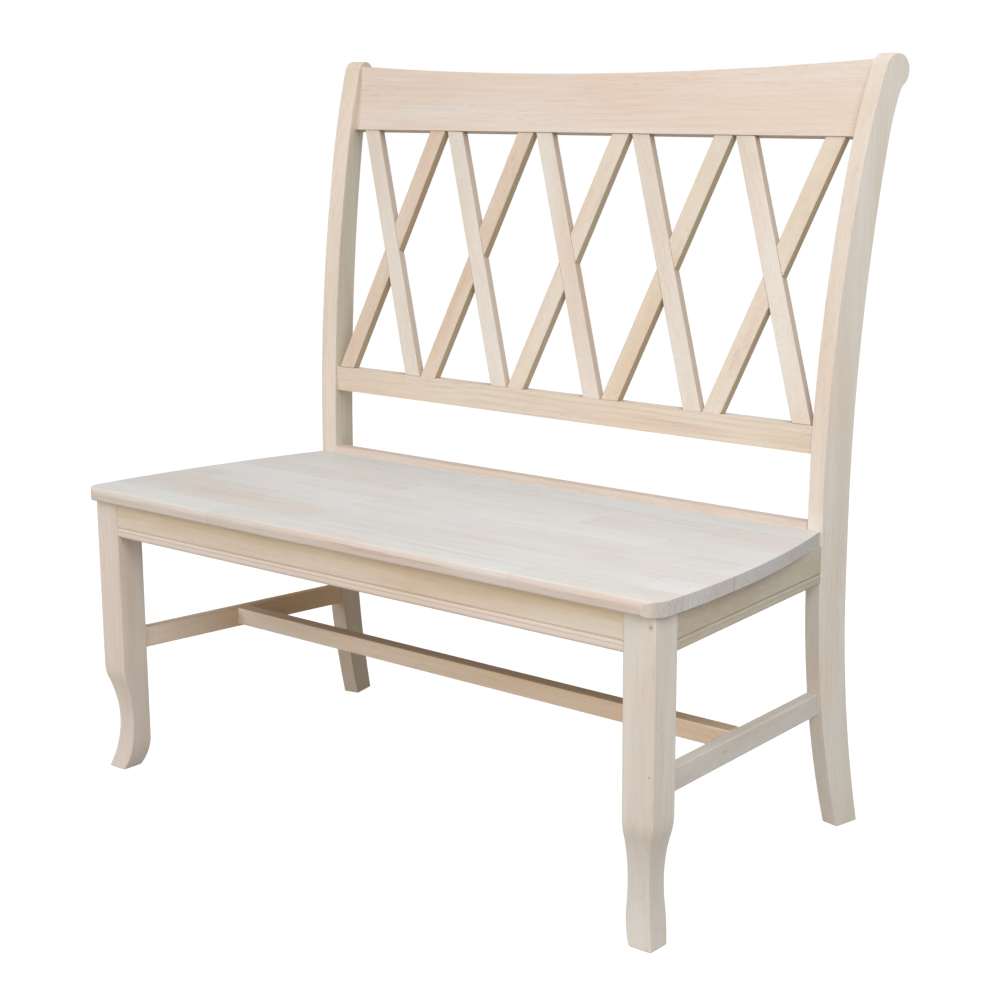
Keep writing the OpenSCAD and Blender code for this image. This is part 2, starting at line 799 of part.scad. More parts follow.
module mid_tenon(g) {
  x_face = stretcher_inner_x(mid_stretcher_y + mid_stretcher_t / 2);
  translate([x_face - side_root, mid_stretcher_y + shoulder - g, mid_z - mid_tenon_h / 2 - g])
    cube([side_root + mid_tenon_l + g, mid_tenon_t + 2 * g, mid_tenon_h + 2 * g]);
}

module side_stretcher(s) {
  color(wood_rail)
    place()
      side_of(s)
        difference() {
          union() {
            difference() {
              stretcher_frame()
                translate([0, stretcher_len + side_tenon_l, 0])
                  rotate([90, 0, 0])
                    linear_extrude(stretcher_len + 2 * side_tenon_l)
                      eased_bar_section(side_stretcher_t, stretcher_h, stretcher_edge_r);
              translate([0, leg_w - far, 0]) cube(far);
              behind_post_front();
            }
            stretcher_front_tenon(0);
            stretcher_rear_tenon(0);
          }
          mid_tenon(fit);
        }
}

module centre_stretcher() {
  color(wood_rail)
    place()
      union() {
        difference() {
          translate([-leg_x, mid_stretcher_y + mid_stretcher_t / 2, mid_z])
            rotate([90, 0, 90])
              linear_extrude(leg_span)
                eased_bar_section(mid_stretcher_t, mid_stretcher_h, stretcher_edge_r);
          both_sides()
            stretcher_frame()
              translate([-side_stretcher_t / 2, -far / 2, -far / 2])
                cube(far);
        }
        both_sides() mid_tenon(0);
      }
}

// Seat
seat_half = leg_x + seat_side;
seat_len = (rear_face_y + seat_nose) / cos(seat_slope);
// Each end is one arc, from near the front legs to the post
seat_end_x = post_corner_x - seat_end_in;
seat_end_d = post_corner_y - seat_curve_y;
seat_end_r = bow_r(seat_end_d, seat_half - seat_end_x);

function plan_side(s) = [
  for (i = [0:end_steps]) let (d = seat_end_d * i / end_steps)
    [s * (seat_half - bow(seat_end_r, d)), seat_curve_y + d]
];
function plan_corner(s) = [
  for (i = [0:steps]) let (a = 90 * i / steps)
    [s * (seat_half - seat_corner_r * (1 - sin(a))), seat_corner_r * (1 - cos(a)) - seat_nose]
];
function reversed(v) = [for (i = [len(v) - 1:-1:0]) v[i]];

module seat_plan() {
  polygon(concat(
    plan_corner(1), plan_side(1),
    [[seat_end_x, post_y + far], [-seat_end_x, post_y + far]],
    reversed(plan_side(-1)), reversed(plan_corner(-1))
  ));
}

// Side view of the seat: front edge at X = 0, underside at Y = 0
module seat_section() {
  translate([nose_r, 0]) square([seat_len + board_extra - nose_r, seat_t]);
  translate([0, nose_low_r]) square([nose_r, seat_t - nose_r - nose_low_r]);
  translate([nose_low_r, 0]) square([nose_r, nose_low_r + over]);
  translate([nose_r, seat_t - nose_r]) circle(nose_r);
  translate([nose_low_r, nose_low_r]) circle(nose_low_r);
}

module seat_board(n) {
  board_w = seat_len / seat_boards;
  color(wood_seat)
    place()
      difference() {
        intersection() {
          seat_frame()
            translate([-seat_half, -seat_nose, 0])
              rotate([90, 0, 90])
                linear_extrude(2 * seat_half)
                  seat_section();
          seat_frame() translate([0, 0, -over]) linear_extrude(seat_t + 2 * over) seat_plan();
          seat_frame()
            translate([-seat_half, (n - 1) * board_w - seat_nose, -over])
              cube([2 * seat_half, n == seat_boards ? board_w + board_extra : board_w, seat_t + 2 * over]);
        }
        translate([-far / 2, rear_face_y, 0]) cube(far);
        both_sides() behind_post_front();
        both_sides() front_seat_screw(screw_fit);
        both_sides() rear_seat_screw(screw_fit);
      }
}

// Corner blocks and screws
// Legs of the empty corner behind a block, measured along the aprons
block_in = apron_inner_x(front_inner_y) - leg_in_x + leg_w - front_inner_y + block_gap;
block_reach = block_in + block_w;

// Corners of a block; y0 is the cross apron's face, q = 1 at the front
function block_corners(y0, q) = [
  [apron_inner_x(y0) - block_reach, y0],
  [apron_inner_x(y0) - block_in, y0],
  [apron_inner_x(y0 + q * block_in), y0 + q * block_in],
  [apron_inner_x(y0 + q * block_reach), y0 + q * block_reach]
];
function block_top(y) = seat_under - y * tan(seat_slope);
function block_mid(y0, q) = let (c = block_corners(y0, q)) (c[0] + c[1] + c[2] + c[3]) / 4;

module screw(l, g) {
  translate([0, 0, screw_head_h - lap]) cylinder(h = l - screw_head_h + lap + g, d = screw_d + 2 * g);
  cylinder(h = screw_head_h, d1 = screw_head_d + 2 * g, d2 = screw_d + 2 * g);
}

// The way in for a screwdriver, outside a screw's head
module screw_way() {
  translate([0, 0, -block_h]) cylinder(h = block_h + lap, d = screw_head_d + 2 * screw_fit);
}

// Screws that hold a block: k = 0 to the front or rear apron, k = 1 to the side apron
module block_screw_at(y0, q, k) {
  m = block_reach - block_w / 2;
  z = block_top(y0 + q * m) - block_h / 2;
  if (k == 0)
    translate([apron_inner_x(y0) - m, y0 + q * screw_seat, z]) rotate([q * 90, 0, 0]) children();
  if (k == 1)
    translate([apron_inner_x(y0 + q * m), y0 + q * m, z])
      rotate([0, 0, apron_turn])
        translate([-screw_seat, 0, 0])
          rotate([0, 90, 0])
            children();
}

block_screw_l = screw_seat + screw_bite;

module front_block_screw(k, g) {
  block_screw_at(front_inner_y, 1, k) screw(block_screw_l, g);
}

module rear_block_screw(k, g) {
  block_screw_at(ledge_y, -1, k) screw(block_screw_l, g);
}

module seat_screw_at(y0, q) {
  m = block_mid(y0, q);
  translate([m[0], m[1], block_top(m[1]) - block_h]) children();
}

module front_seat_screw(g) {
  seat_screw_at(front_inner_y, 1) screw(block_h + screw_bite, g);
}

module rear_seat_screw(g) {
  seat_screw_at(ledge_y, -1) screw(block_h + screw_bite, g);
}

module corner_block(s, y0, q) {
  m = block_mid(y0, q);
  color(wood_block)
    place()
      side_of(s)
        difference() {
          translate([0, 0, block_top(m[1]) - block_h])
            linear_extrude(block_h + block_rise)
              polygon(block_corners(y0, q));
          above_seat_underside();
          for (k = [0, 1]) block_screw_at(y0, q, k) screw(block_screw_l, screw_fit);
          for (k = [0, 1]) block_screw_at(y0, q, k) screw_way();
          seat_screw_at(y0, q) screw(block_h + screw_bite, screw_fit);
        }
}

module block_screws() {
  color(steel)
    place()
      both_sides() {
        for (k = [0, 1]) front_block_screw(k, 0);
        for (k = [0, 1]) rear_block_screw(k, 0);
      }
}

module seat_screws() {
  color(steel)
    place()
      both_sides() {
        front_seat_screw(0);
        rear_seat_screw(0);
      }
}

// The bench
front_leg(-1);  // front_leg_left
front_leg(1);  // front_leg_right
rear_post(-1);  // rear_post_left
rear_post(1);  // rear_post_right
crest_rail();
lower_back_rail();
front_apron();
rear_apron();
side_apron(-1);  // side_apron_left
side_apron(1);  // side_apron_right
side_stretcher(-1);  // side_stretcher_left
side_stretcher(1);  // side_stretcher_right
centre_stretcher();
seat_board(1);  // seat_board_1
seat_board(2);  // seat_board_2
seat_board(3);  // seat_board_3
seat_board(4);  // seat_board_4
seat_board(5);  // seat_board_5
seat_board(6);  // seat_board_6
seat_board(7);  // seat_board_7
seat_board(8);  // seat_board_8
slat(1, -1);  // x1_slat_falling
slat(1, 1);  // x1_slat_rising
slat(2, -1);  // x2_slat_falling
slat(2, 1);  // x2_slat_rising
slat(3, -1);  // x3_slat_falling
slat(3, 1);  // x3_slat_rising
slat(4, -1);  // x4_slat_falling
slat(4, 1);  // x4_slat_rising
slat(5, -1);  // x5_slat_falling
slat(5, 1);  // x5_slat_rising
corner_block(-1, front_inner_y, 1);  // corner_block_front_left
corner_block(1, front_inner_y, 1);  // corner_block_front_right
corner_block(-1, ledge_y, -1);  // corner_block_rear_left
corner_block(1, ledge_y, -1);  // corner_block_rear_right
block_screws();
seat_screws();
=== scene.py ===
import math

import bpy
from mathutils import Matrix, Vector

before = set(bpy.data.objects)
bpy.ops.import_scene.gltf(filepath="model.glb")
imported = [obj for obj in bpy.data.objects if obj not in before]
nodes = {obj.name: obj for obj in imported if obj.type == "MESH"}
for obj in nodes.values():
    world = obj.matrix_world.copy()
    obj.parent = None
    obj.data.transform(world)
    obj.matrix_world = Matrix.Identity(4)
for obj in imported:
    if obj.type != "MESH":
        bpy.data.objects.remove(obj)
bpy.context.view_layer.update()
scene = bpy.context.scene

# Camera: its place and turn were found from the straight edges in the photograph
DEPTH_MID = 0.29497            # from the front legs' face to the middle of the depth
EYE = (1.7545, -1.7683 - DEPTH_MID, 1.0526)
YAW = math.radians(39.7)
PITCH = math.radians(-12.4)
ROLL = math.radians(-0.2)
SENSOR = 36.0                  # width, in millimetres
LENS = 1.8589 * SENSOR


def make_camera():
    """The photograph's camera."""
    fwd = Vector((-math.sin(YAW) * math.cos(PITCH), math.cos(YAW) * math.cos(PITCH), math.sin(PITCH)))
    level = Vector((math.cos(YAW), math.sin(YAW), 0.0))
    upright = level.cross(fwd)
    right = level * math.cos(ROLL) + upright * math.sin(ROLL)
    up = upright * math.cos(ROLL) - level * math.sin(ROLL)
    data = bpy.data.cameras.new("camera")
    data.sensor_width = SENSOR
    data.lens = LENS
    data.clip_end = 100.0
    camera = bpy.data.objects.new("camera", data)
    scene.collection.objects.link(camera)
    camera.matrix_world = Matrix.Translation(EYE) @ Matrix((right, up, -fwd)).transposed().to_4x4()
    scene.camera = camera


make_camera()


def srgb(r, g, b):
    """Colour given as 0-255 screen values, as linear RGBA."""
    def linear(c):
        c /= 255.0
        return c / 12.92 if c <= 0.04045 else ((c + 0.055) / 1.055) ** 2.4
    return (linear(r), linear(g), linear(b), 1.0)


# Colours that a piece of wood is tinted or marked with
PINK = srgb(253, 241, 233)
GREY = srgb(248, 249, 246)
# These four are painted shade, laid along pieces under the seat and near the floor
SHADE_BROWN = srgb(200, 176, 148)
SHADE_GREY = srgb(200, 199, 200)
SHADE_TAN = srgb(251, 236, 222)
SHADE_GOLD = srgb(255, 251, 237)
RING = srgb(176, 142, 108)
FIBRE_DARK = srgb(172, 146, 118)
FIBRE_LIGHT = srgb(238, 228, 218)
PORE = srgb(138, 108, 82)
MINERAL = srgb(180, 148, 122)
PALE_BLOCK = srgb(232, 231, 228)
FINGER_JOINT = srgb(150, 120, 92)
GLUE_DARK = srgb(112, 98, 88)
# A painted highlight along a seat joint
JOINT_HIGHLIGHT = srgb(240, 240, 238)
STREAK = srgb(180, 144, 122)
# A painted highlight on the bead of an apron
BEAD_HIGHLIGHT = srgb(242, 224, 217)
BEAD_LINE = srgb(160, 132, 104)
END_GRAIN = srgb(176, 152, 130)
KNOT_HALO = srgb(176, 140, 104)
KNOT_EYE = srgb(120, 84, 58)


class Graph:
    """Short calls for building a node tree."""

    def __init__(self, tree):
        self.tree = tree
        tree.nodes.clear()

    def node(self, kind, links=None, **props):
        """A node with its properties, and its inputs set or linked."""
        n = self.tree.nodes.new(kind)
        for k, v in props.items():
            setattr(n, k, v)
        for k, v in (links or {}).items():
            if hasattr(v, "is_output"):
                self.tree.links.new(v, n.inputs[k])
            else:
                n.inputs[k].default_value = v
        return n

    def math(self, op, a, b=0.0, c=0.0):
        return self.node("ShaderNodeMath", {0: a, 1: b, 2: c}, operation=op).outputs[0]

    def times(self, a, b):
        return self.math("MULTIPLY", a, b)

    def off(self, a, b):
        """How far a lies from b."""
        return self.math("ABSOLUTE", self.math("SUBTRACT", a, b))

    def vec(self, op, a, b):
        return self.node("ShaderNodeVectorMath", {0: a, 1: b}, operation=op)

    def split(self, vector):
        """The X, Y and Z of a vector."""
        return self.node("ShaderNodeSeparateXYZ", {0: vector}).outputs

    def noise(self, coords, stretch, detail=2.0, rough=0.5, distortion=0.0):
        """Noise with so many swings to the metre along each axis."""
        v = self.vec("MULTIPLY", coords, stretch).outputs[0]
        return self.node("ShaderNodeTexNoise", {"Vector": v, "Scale": 1.0, "Detail": detail,
                                                "Roughness": rough, "Distortion": distortion}).outputs[0]

    def ramp(self, value, start, end):
        """0 at start and 1 at end, smooth between."""
        n = self.node("ShaderNodeMapRange", {0: value, 1: start, 2: end}, interpolation_type="SMOOTHSTEP")
        return n.outputs[0]

    def mix(self, amount, a, b, blend="MIX"):
        n = self.node("ShaderNodeMix", {0: amount, 6: a, 7: b}, data_type="RGBA", blend_type=blend)
        return n.outputs[2]


def new_material(name):
    mat = bpy.data.materials.new(name)
    mat.use_nodes = True
    return mat


# Wood
RING_PACE = 640.0              # radians of the ring pattern to a metre
RING_PULL = 26.0               # radians by which the slow noise bends it
ROUGHNESS = 0.56
GRAIN_RELIEF = 0.0004          # height of fibres and pores
BEAD_TOP = 0.015               # of an apron, above its lower edge
LINE_RISE = 0.010              # height of the second fine line above that edge


class Wood(Graph):
    """Bare sanded rubberwood, laid on in layers. The grain runs along the turned X axis."""

    def __init__(self, tree, seed, turn):
        super().__init__(tree)
        self.seed = seed
        self.turn = turn
        self.place = self.node("ShaderNodeTexCoord").outputs["Object"]
        self.axes = self.split(self.place)
        self.turned = self.node("ShaderNodeMapping", {"Vector": self.place, "Rotation": turn,
                                                      "Location": (seed * 0.731, 0.0, 0.0)}).outputs[0]
        shift = (0.0, math.sin(seed * 2.3) * 0.7, math.cos(seed * 1.7) * 0.7)
        self.along = self.vec("ADD", self.turned, shift).outputs[0]
        self.normal = self.node("ShaderNodeNewGeometry").outputs["Normal"]
        self.facing = self.split(self.normal)
        self.across = self.math("ABSOLUTE", self.facing[0])
        self.groove = 0.0

    def lay(self, amount, colour, strength=1.0):
        """Covers what is there with a colour."""
        self.colour = self.mix(self.times(amount, strength), self.colour, colour)

    def tint(self, amount, colour, strength=1.0):
        """Multiplies what is there by a colour."""
        self.colour = self.mix(self.times(amount, strength), self.colour, colour, "MULTIPLY")

    def tones(self, base, warm):
        """Broad drift between two tones, long along the grain, with pinker and greyer patches."""
        drift = self.noise(self.along, (1.7, 16.0, 16.0), 3.0, 0.55)
        self.colour = self.mix(self.ramp(drift, 0.36, 0.66), base, warm)
        patch = self.noise(self.along, (3.0, 11.0, 11.0), 2.0, 0.5)
        self.tint(self.ramp(patch, 0.52, 0.72), PINK, 0.45)
        self.tint(self.ramp(patch, 0.48, 0.30), GREY, 0.45)

    def rings(self, heart, strength):
        """Growth rings round a heart beside the piece, pulled about by a slow noise."""
        pull = self.noise(self.along, (2.2, 9.0, 9.0), 2.0)
        turned = self.split(self.turned)
        y = self.math("ADD", turned[1], heart[0])
        z = self.math("ADD", turned[2], heart[1])
        radius = self.math("SQRT", self.math("ADD", self.times(y, y), self.times(z, z)))
        phase = self.math("ADD", self.times(radius, RING_PACE), self.times(pull, RING_PULL))
        wave = self.math("MULTIPLY_ADD", self.math("SINE", phase), 0.5, 0.5)
        late_wood = self.math("POWER", wave, 2.2)
        where = self.ramp(self.noise(self.along, (1.1, 7.0, 7.0), 1.0), 0.42, 0.62)
        self.lay(self.times(late_wood, where), RING, 0.16 * strength)

    def fibres(self, strength):
        """The fibres, the short open pores and a few faint mineral streaks."""
        self.fibre = self.noise(self.along, (9.0, 420.0, 420.0), 3.0, 0.6)
        self.lay(self.ramp(self.fibre, 0.46, 0.72), FIBRE_DARK, 0.17 * strength)
        self.lay(self.ramp(self.fibre, 0.50, 0.26), FIBRE_LIGHT, 0.25 * strength)
        pore = self.ramp(self.noise(self.along, (38.0, 1300.0, 1300.0), 1.0, 0.5), 0.63, 0.72)
        where = self.ramp(self.noise(self.along, (3.0, 34.0, 34.0), 2.0), 0.40, 0.60)
        self.pores = self.times(pore, where)
        self.lay(self.pores, PORE, 0.34 * strength)
        mineral = self.noise(self.along, (1.3, 55.0, 55.0), 3.0, 0.55, 0.3)
        self.lay(self.ramp(mineral, 0.63, 0.74), MINERAL, 0.22)

    def blocks(self, length):
        """Finger-jointed blocks along X that differ a little, with a fine line at each joint."""
        count = self.math("ADD", self.math("DIVIDE", self.axes[0], length), self.seed * 0.37)
        block = self.math("FLOOR", count)
        pick = self.node("ShaderNodeCombineXYZ", {0: block, 1: self.seed * 3.1}).outputs[0]
        chance = self.node("ShaderNodeTexWhiteNoise", {"Vector": pick}, noise_dimensions="3D").outputs[0]
        self.tint(self.ramp(chance, 0.45, 1.0), PINK, 0.45)
        self.lay(self.ramp(chance, 0.40, 0.0), PALE_BLOCK, 0.4)
        from_middle = self.off(self.math("SUBTRACT", count, block), 0.5)
        self.lay(self.ramp(from_middle, 0.4988, 0.4996), FINGER_JOINT, 0.35)

    def faces(self, front=None, side=None, under=None, top=None):
        """Paints shade on the faces that are turned to the front, to the sides, down and up."""
        for colour, turned, start, end in ((front, self.facing[1], -0.15, -0.75),
                                           (side, self.across, 0.5, 0.9),
                                           (under, self.facing[2], -0.15, -0.32),
                                           (top, self.facing[2], 0.6, 0.9)):
            if colour:
                self.tint(self.ramp(turned, start, end), colour)

    def seam(self, y):
        """A glue line along X: dark on the board's ends, with a painted highlight along it on its top
        towards the right.
        """
        off = self.off(self.axes[1], y)
        on_end = self.times(self.ramp(off, 0.0011, 0.0003), self.ramp(self.across, 0.6, 0.9))
        self.lay(on_end, GLUE_DARK, 0.75)
        # A painted highlight along the joint on the board's top
        on_top = self.times(self.ramp(off, 0.0016, 0.0004), self.ramp(self.facing[2], 0.8, 0.95))
        self.lay(self.times(on_top, self.ramp(self.axes[0], 0.05, 0.45)), JOINT_HIGHLIGHT, 0.6)

    def shade(self, axis, start, end, front, rest, colour):
        """Paints shade on a stretch of the piece, its front by one amount and the rest by another.
        Faces turned to the left or the back keep their tone."""
        amount = self.math("MULTIPLY_ADD", self.ramp(self.facing[1], -0.15, -0.75), front - rest, rest)
        amount = self.times(amount, self.ramp(self.facing[0], -0.5, -0.1))
        amount = self.times(amount, self.ramp(self.facing[1], 0.5, 0.1))
        self.tint(self.times(self.ramp(self.axes[axis], start, end), amount), colour)

    def streak(self, start, end, height):
        """A thin brown line along X on the front face, a little wavy, that fades at its ends."""
        wander = self.noise(self.place, (14.0, 0.0, 0.0), 2.0)
        middle = self.math("MULTIPLY_ADD", wander, 0.0016, height - 0.0008)
        line = self.ramp(self.off(self.axes[2], middle), 0.0008, 0.0002)
        line = self.times(line, self.ramp(self.axes[0], start, start + 0.03))
        line = self.times(line, self.ramp(self.axes[0], end, end - 0.04))
        line = self.times(line, self.ramp(self.facing[1], -0.1, -0.4))
        self.lay(line, STREAK, 0.65)

    def bead(self, fall, foot, outward, pale):
        """A fine line cut along an apron's outer face, and the paler band of the bead, a painted highlight.
        The lower edge is at height foot where Y is 0, and falls towards the back."""
        high = self.math("SUBTRACT", self.math("MULTIPLY_ADD", self.axes[1], fall, self.axes[2]), foot)
        outer = self.ramp(self.vec("DOT_PRODUCT", self.normal, outward).outputs["Value"], 0.5, 0.8)
        self.lay(self.times(self.ramp(high, BEAD_TOP + 0.0002, BEAD_TOP - 0.0006), outer), BEAD_HIGHLIGHT, pale)
        self.groove = self.times(self.ramp(self.off(high, LINE_RISE), 0.0012, 0.0004), outer)
        self.lay(self.groove, BEAD_LINE, 0.3)

    def end_grain(self, strength):
        """The ends are a little darker, in mottles."""
        turned = self.node("ShaderNodeMapping", {"Vector": self.normal, "Rotation": self.turn},
                           vector_type="VECTOR").outputs[0]
        end_on = self.math("ABSOLUTE", self.split(turned)[0])
        mottle = self.ramp(self.noise(self.along, (20.0, 210.0, 120.0), 3.0, 0.6), 0.40, 0.66)
        mottle = self.math("MULTIPLY_ADD", mottle, 0.8, 0.2)
        self.lay(self.times(mottle, self.ramp(end_on, 0.72, 0.95)), END_GRAIN, strength)

    def knot(self, centre, radius):
        """A pin knot: a brown eye in a tan halo."""
        off = self.vec("DISTANCE", self.place, centre).outputs["Value"]
        self.lay(self.ramp(off, radius * 3.0, radius), KNOT_HALO, 0.35)
        self.lay(self.ramp(off, radius, radius * 0.45), KNOT_EYE, 0.75)

    def surface(self):
        """Bump from the fibres, the pores and the cut line, and the shader."""
        height = self.math("SUBTRACT", self.times(self.fibre, 0.35), self.times(self.pores, 0.8))
        height = self.math("SUBTRACT", height, self.times(self.groove, 0.6))
        bump = self.node("ShaderNodeBump", {"Strength": 0.35, "Distance": GRAIN_RELIEF, "Height": height})
        roughness = self.math("MULTIPLY_ADD", self.fibre, 0.16, ROUGHNESS - 0.08)
        shader = self.node("ShaderNodeBsdfPrincipled", {"Base Color": self.colour, "Roughness": roughness,
                                                        "Specular IOR Level": 0.42,
                                                        "Normal": bump.outputs[0]})
        self.node("ShaderNodeOutputMaterial", {0: shader.outputs[0]})


def wood(name, tones, seed, turn, heart=(0.02, 0.11), figure=0.35, grain=0.7, ends=0.3,
         blocks=None, faces=None, seam=None, shade=None, streaks=(), bead=None, knots=()):
    """A wood material. heart is where the rings' middle lies beside the piece; figure, grain
    and ends are the strengths of the rings, the fibres and the end grain. The rest are layers
    that only some pieces have."""
    mat = new_material(name)
    w = Wood(mat.node_tree, seed, turn)
    w.tones(*tones)
    w.rings(heart, figure)
    w.fibres(grain)
    if blocks:
        w.blocks(blocks)
    if faces:
        w.faces(**faces)
    if seam is not None:
        w.seam(seam)
    if shade:
        w.shade(**shade)
    for line in streaks:
        w.streak(*line)
    if bead:
        w.bead(**bead)
    w.end_grain(ends)
    for centre, radius in knots:
        w.knot(centre, radius)
    w.surface()
    return mat


def steel(name):
    """Zinc plate, a little blotched."""
    mat = new_material(name)
    g = Graph(mat.node_tree)
    blot = g.noise(g.node("ShaderNodeTexCoord").outputs["Object"], (260.0, 260.0, 260.0), 3.0, 0.6)
    colour = g.mix(blot, srgb(168, 166, 158), srgb(206, 202, 186))
    rough = g.math("MULTIPLY_ADD", blot, 0.25, 0.25)
    bump = g.node("ShaderNodeBump", {"Strength": 0.2, "Distance": 0.0002, "Height": blot})
    shader = g.node("ShaderNodeBsdfPrincipled", {"Base Color": colour, "Roughness": rough,
                                                 "Metallic": 1.0, "Normal": bump.outputs[0]})
    g.node("ShaderNodeOutputMaterial", {0: shader.outputs[0]})
    return mat


# How the grain runs
ALONG_X = (0.0, 0.0, 0.0)
ALONG_Y = (0.0, 0.0, -math.pi / 2)
UPRIGHT = (0.0, math.pi / 2, 0.0)
SLANT = math.radians(20.2)     # of a slat, from upright
RISING = (0.0, math.pi / 2 - SLANT, 0.0)
FALLING = (0.0, math.pi / 2 + SLANT, 0.0)
CORNERWISE = (0.0, 0.0, math.pi / 4)

# Two tones for each kind of piece
SLAT = (srgb(226, 215, 203), srgb(221, 206, 190))
SLAT_WARM = (srgb(225, 210, 193), srgb(218, 198, 173))
SLAT_TAN = (srgb(223, 203, 185), srgb(215, 189, 163))
# Raised so that the rail's top reads lit, while its front is painted back down: painted light on the top
LOW_RAIL = (srgb(240, 226, 210), srgb(233, 212, 189))
CREST = (srgb(227, 213, 202), srgb(224, 203, 186))
POST = (srgb(239, 230, 219), srgb(231, 218, 202))
LEG = (srgb(233, 226, 217), srgb(226, 212, 197))
LEG_LEFT = (srgb(240, 228, 217), srgb(234, 215, 198))
APRON = (srgb(229, 214, 196), srgb(219, 197, 172))
# The side aprons' darker tone is painted shade from the seat's overhang
APRON_SIDE_SHADED = (srgb(212, 202, 186), srgb(203, 187, 163))
# These two stretcher tones are raised to make up for the shade under the seat: painted light
RAIL = (srgb(255, 246, 234), srgb(246, 228, 206))
RAIL_LEFT = (srgb(255, 244, 226), srgb(255, 234, 208))
RAIL_RIGHT = (srgb(227, 224, 217), srgb(220, 210, 196))
# The seat's pale, neutral tone is partly the wood's own and partly a painted sheen on its top
SEAT = (srgb(225, 225, 222), srgb(224, 219, 213))
BLOCK = (srgb(214, 194, 166), srgb(202, 176, 144))

# Painted shade on single faces: each darkens and tints the faces turned one way, as these get less light
# than the rest
SEAT_FRONT_SHADE = srgb(243, 230, 221)
SEAT_END_SHADE = srgb(242, 241, 242)
POST_FRONT_SHADE = srgb(245, 238, 233)
POST_INNER_SHADE = srgb(237, 236, 227)
LEG_FRONT_SHADE = srgb(249, 247, 246)
LOW_RAIL_FRONT_SHADE = srgb(241, 239, 236)
SLAT_SIDE_SHADE = srgb(240, 231, 223)
# Undersides painted darker, for the shade beneath them
UNDERSIDE_SHADE = srgb(216, 210, 193)
# The stretcher tops below are painted dark for the seat's shade over them
SHELTERED_TOP_SHADE = srgb(232, 228, 224)
SHADED = srgb(205, 188, 170)

# Painted shade along a piece, where it lies under the seat or near the floor
X, Y, Z = range(3)
FOOT_SHADE = dict(axis=Z, start=0.22, end=0.04, front=0.14, rest=0.2, colour=SHADE_GREY)
LEFT_POST_SHADE = dict(axis=Z, start=0.45, end=0.37, front=0.25, rest=0.75, colour=SHADE_BROWN)
# On the right post the front's painted shade is laid only above the seat, so the front below it reads
# lighter
RIGHT_POST_SHADE = dict(axis=Z, start=0.45, end=0.49, front=1.0, rest=0.0, colour=POST_FRONT_SHADE)
APRON_SHADE = dict(axis=Z, start=0.405, end=0.432, front=1.0, rest=0.0, colour=SHADE_GOLD)
LEFT_RAIL_SHADE = dict(axis=Y, start=-0.14, end=0.04, front=0.9, rest=0.9, colour=SHADE_BROWN)
MID_RAIL_SHADE = dict(axis=X, start=-0.40, end=0.15, front=1.0, rest=0.3, colour=SHADE_TAN)

# The seat and the side aprons fall by this share of their length towards the back
SEAT_FALL = 0.0156


def bead_line(name, fall, outward, pale):
    """The bead's values for an apron, with the lower edge found on its mesh."""
    foot = min(v.co.z + fall * v.co.y for v in nodes[name].data.vertices)
    return dict(fall=fall, foot=foot, outward=outward, pale=pale)


LOOKS = {
    "front_leg_left": dict(tones=LEG_LEFT, faces=dict(front=LEG_FRONT_SHADE), turn=UPRIGHT, seed=1.3,
                           shade=FOOT_SHADE),
    # the pin knots are those in the photograph
    "front_leg_right": dict(tones=LEG, faces=dict(front=LEG_FRONT_SHADE), turn=UPRIGHT, seed=2.9,
                            shade=FOOT_SHADE,
                            knots=(((0.5215, -DEPTH_MID, 0.4222), 0.0018),
                                   ((0.5218, -DEPTH_MID, 0.2315), 0.0009))),
    "rear_post_left": dict(tones=POST, faces=dict(front=POST_FRONT_SHADE, side=POST_INNER_SHADE), turn=UPRIGHT,
                           seed=4.1, shade=LEFT_POST_SHADE),
    "rear_post_right": dict(tones=POST, turn=UPRIGHT, seed=5.7, shade=RIGHT_POST_SHADE),
    "crest_rail": dict(tones=CREST, faces=dict(under=UNDERSIDE_SHADE), turn=ALONG_X, seed=6.2, figure=0.4,
                       heart=(-0.2, -0.93)),
    "lower_back_rail": dict(tones=LOW_RAIL, faces=dict(front=LOW_RAIL_FRONT_SHADE), turn=ALONG_X, seed=7.4,
                            figure=0.9, grain=1.0),
    "front_apron": dict(tones=APRON, turn=ALONG_X, seed=8.8, shade=APRON_SHADE,
                        bead=bead_line("front_apron", 0.0, (0, -1, 0), 0.45)),
    "rear_apron": dict(tones=CREST, turn=ALONG_X, seed=9.6),
    "side_apron_left": dict(tones=APRON_SIDE_SHADED, turn=ALONG_Y, seed=10.5,
                            bead=bead_line("side_apron_left", SEAT_FALL, (-1, 0, 0), 0.0)),
    "side_apron_right": dict(tones=APRON_SIDE_SHADED, turn=ALONG_Y, seed=11.9,
                             bead=bead_line("side_apron_right", SEAT_FALL, (1, 0, 0), 0.0)),
    "side_stretcher_left": dict(tones=RAIL_LEFT, faces=dict(top=SHELTERED_TOP_SHADE), turn=ALONG_Y, seed=12.4,
                                shade=LEFT_RAIL_SHADE),
    "side_stretcher_right": dict(tones=RAIL_RIGHT, turn=ALONG_Y, seed=13.8,
                                 knots=(((0.5055, 0.1986 - DEPTH_MID, 0.2034), 0.0018),)),
    "centre_stretcher": dict(tones=RAIL, faces=dict(top=SHADED), turn=ALONG_X, seed=14.6,
                             shade=MID_RAIL_SHADE),
}
for i in range(1, 9):
    LOOKS["seat_board_%d" % i] = dict(tones=SEAT, faces=dict(front=SEAT_FRONT_SHADE, side=SEAT_END_SHADE), turn=ALONG_X,
                                      seed=20.0 + 1.37 * i, heart=(0.03 * i - 0.1, -0.36), figure=0.6,
                                      grain=1.0, ends=0.24, blocks=0.27 + 0.013 * i)
